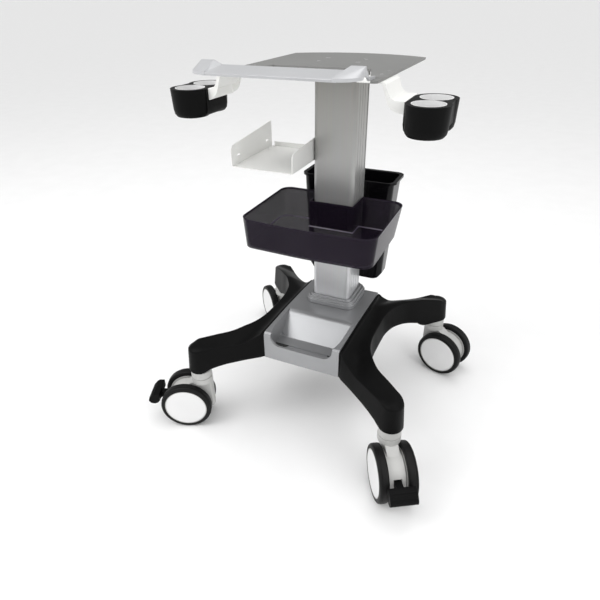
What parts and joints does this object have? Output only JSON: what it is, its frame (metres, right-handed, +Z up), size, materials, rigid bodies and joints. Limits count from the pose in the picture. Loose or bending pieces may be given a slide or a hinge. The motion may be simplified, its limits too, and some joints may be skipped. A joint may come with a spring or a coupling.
{
  "type": "ultrasound machine trolley",
  "caption": "Wheeled pedestal cart for a portable ultrasound machine: top plate, pull handle, side probe holders, shelf, tray and bin on a column over a low base with swivel casters.",
  "frame": {"origin": "on the floor, at the middle of the whole cart's outline", "axes": "+Z up from the floor; -Y is the front, the side with the handle; +X is the right-hand side seen from the front"},
  "size_m": [0.7211, 0.6889, 0.845],
  "materials": {
    "brushed_aluminium": "satin brushed along its length",
    "silver_plastic": "satin silver paint",
    "black_plastic": "fine matte",
    "grey_plate": "satin grey paint",
    "light_paint": "satin light silver paint",
    "white_paint": "satin white paint",
    "smoky_plastic": "glossy, slightly see-through",
    "gloss_black": "glossy",
    "liner_white": "satin",
    "caster_grey": "satin light grey",
    "caster_white": "satin near white",
    "tyre_rubber": "matte",
    "steel": "bright",
    "frame_steel": "dark powder coat",
    "ballast_iron": "rough"
  },
  "bodies": {
    "cart": {"base_frame": "frame_steel", "ballast": "ballast_iron", "centre_cover": "silver_plastic", "left_wing": "black_plastic", "right_wing": "black_plastic", "base_screws": "steel", "column": "brushed_aluminium", "column_collar": "silver_plastic", "head_plate": "frame_steel", "column_bolts": "steel", "top_plate": "grey_plate", "handle": "light_paint", "top_screws": "steel", "shelf": "white_paint", "tray": "smoky_plastic", "rear_bin": "gloss_black", "hanger_screws": "steel", "left_bracket": "white_paint", "right_bracket": "white_paint", "left_holder": "black_plastic", "right_holder": "black_plastic", "cup_liners": "liner_white", "front_left_stem": "caster_grey", "front_right_stem": "caster_grey", "rear_left_stem": "caster_grey", "rear_right_stem": "caster_grey"},
    "front_left_fork": {"front_left_housing": "caster_grey", "front_left_axle": "steel"},
    "front_left_wheel_a": {"front_left_tyre_a": "tyre_rubber", "front_left_hub_a": "caster_grey", "front_left_cap_a": "caster_white"},
    "front_left_wheel_b": {"front_left_tyre_b": "tyre_rubber", "front_left_hub_b": "caster_grey", "front_left_cap_b": "caster_white"},
    "front_left_brake": {"front_left_pedal": "black_plastic"},
    "front_right_fork": {"front_right_housing": "caster_grey", "front_right_axle": "steel"},
    "front_right_wheel_a": {"front_right_tyre_a": "tyre_rubber", "front_right_hub_a": "caster_grey", "front_right_cap_a": "caster_white"},
    "front_right_wheel_b": {"front_right_tyre_b": "tyre_rubber", "front_right_hub_b": "caster_grey", "front_right_cap_b": "caster_white"},
    "front_right_brake": {"front_right_pedal": "black_plastic"},
    "rear_left_fork": {"rear_left_housing": "caster_grey", "rear_left_axle": "steel"},
    "rear_left_wheel_a": {"rear_left_tyre_a": "tyre_rubber", "rear_left_hub_a": "caster_grey", "rear_left_cap_a": "caster_white"},
    "rear_left_wheel_b": {"rear_left_tyre_b": "tyre_rubber", "rear_left_hub_b": "caster_grey", "rear_left_cap_b": "caster_white"},
    "rear_right_fork": {"rear_right_housing": "caster_grey", "rear_right_axle": "steel"},
    "rear_right_wheel_a": {"rear_right_tyre_a": "tyre_rubber", "rear_right_hub_a": "caster_grey", "rear_right_cap_a": "caster_white"},
    "rear_right_wheel_b": {"rear_right_tyre_b": "tyre_rubber", "rear_right_hub_b": "caster_grey", "rear_right_cap_b": "caster_white"}
  },
  "joints": [
    {"name": "front_left_swivel", "type": "hinge", "parent": "cart", "child": "front_left_fork", "pos_m": [-0.225, -0.214, 0.125], "axis": [0, 0, 1], "continuous": true},
    {"name": "front_left_roll_a", "type": "hinge", "parent": "front_left_fork", "child": "front_left_wheel_a", "pos_m": [-0.26274, -0.23002, 0.0625], "axis": [0.3907, -0.9205, 0], "continuous": true},
    {"name": "front_left_roll_b", "type": "hinge", "parent": "front_left_fork", "child": "front_left_wheel_b", "pos_m": [-0.26274, -0.23002, 0.0625], "axis": [0.3907, -0.9205, 0], "continuous": true},
    {"name": "front_left_brake_press", "type": "hinge", "parent": "front_left_fork", "child": "front_left_brake", "pos_m": [-0.29312, -0.24291, 0.076], "axis": [0.3907, -0.9205, 0], "range_deg": [0, 10]},
    {"name": "front_right_swivel", "type": "hinge", "parent": "cart", "child": "front_right_fork", "pos_m": [0.251, -0.214, 0.125], "axis": [0, 0, 1], "continuous": true},
    {"name": "front_right_roll_a", "type": "hinge", "parent": "front_right_fork", "child": "front_right_wheel_a", "pos_m": [0.27212, -0.24914, 0.0625], "axis": [0.8572, 0.515, 0], "continuous": true},
    {"name": "front_right_roll_b", "type": "hinge", "parent": "front_right_fork", "child": "front_right_wheel_b", "pos_m": [0.27212, -0.24914, 0.0625], "axis": [0.8572, 0.515, 0], "continuous": true},
    {"name": "front_right_brake_press", "type": "hinge", "parent": "front_right_fork", "child": "front_right_brake", "pos_m": [0.28911, -0.27743, 0.076], "axis": [0.8572, 0.515, 0], "range_deg": [0, 10]},
    {"name": "rear_left_swivel", "type": "hinge", "parent": "cart", "child": "rear_left_fork", "pos_m": [-0.225, 0.246, 0.125], "axis": [0, 0, 1], "continuous": true},
    {"name": "rear_left_roll_a", "type": "hinge", "parent": "rear_left_fork", "child": "rear_left_wheel_a", "pos_m": [-0.25499, 0.27396, 0.0625], "axis": [-0.682, -0.7314, 0], "continuous": true},
    {"name": "rear_left_roll_b", "type": "hinge", "parent": "rear_left_fork", "child": "rear_left_wheel_b", "pos_m": [-0.25499, 0.27396, 0.0625], "axis": [-0.682, -0.7314, 0], "continuous": true},
    {"name": "rear_right_swivel", "type": "hinge", "parent": "cart", "child": "rear_right_fork", "pos_m": [0.251, 0.246, 0.125], "axis": [0, 0, 1], "continuous": true},
    {"name": "rear_right_roll_a", "type": "hinge", "parent": "rear_right_fork", "child": "rear_right_wheel_a", "pos_m": [0.29021, 0.23401, 0.0625], "axis": [0.2924, 0.9563, 0], "continuous": true},
    {"name": "rear_right_roll_b", "type": "hinge", "parent": "rear_right_fork", "child": "rear_right_wheel_b", "pos_m": [0.29021, 0.23401, 0.0625], "axis": [0.2924, 0.9563, 0], "continuous": true}
  ]
}
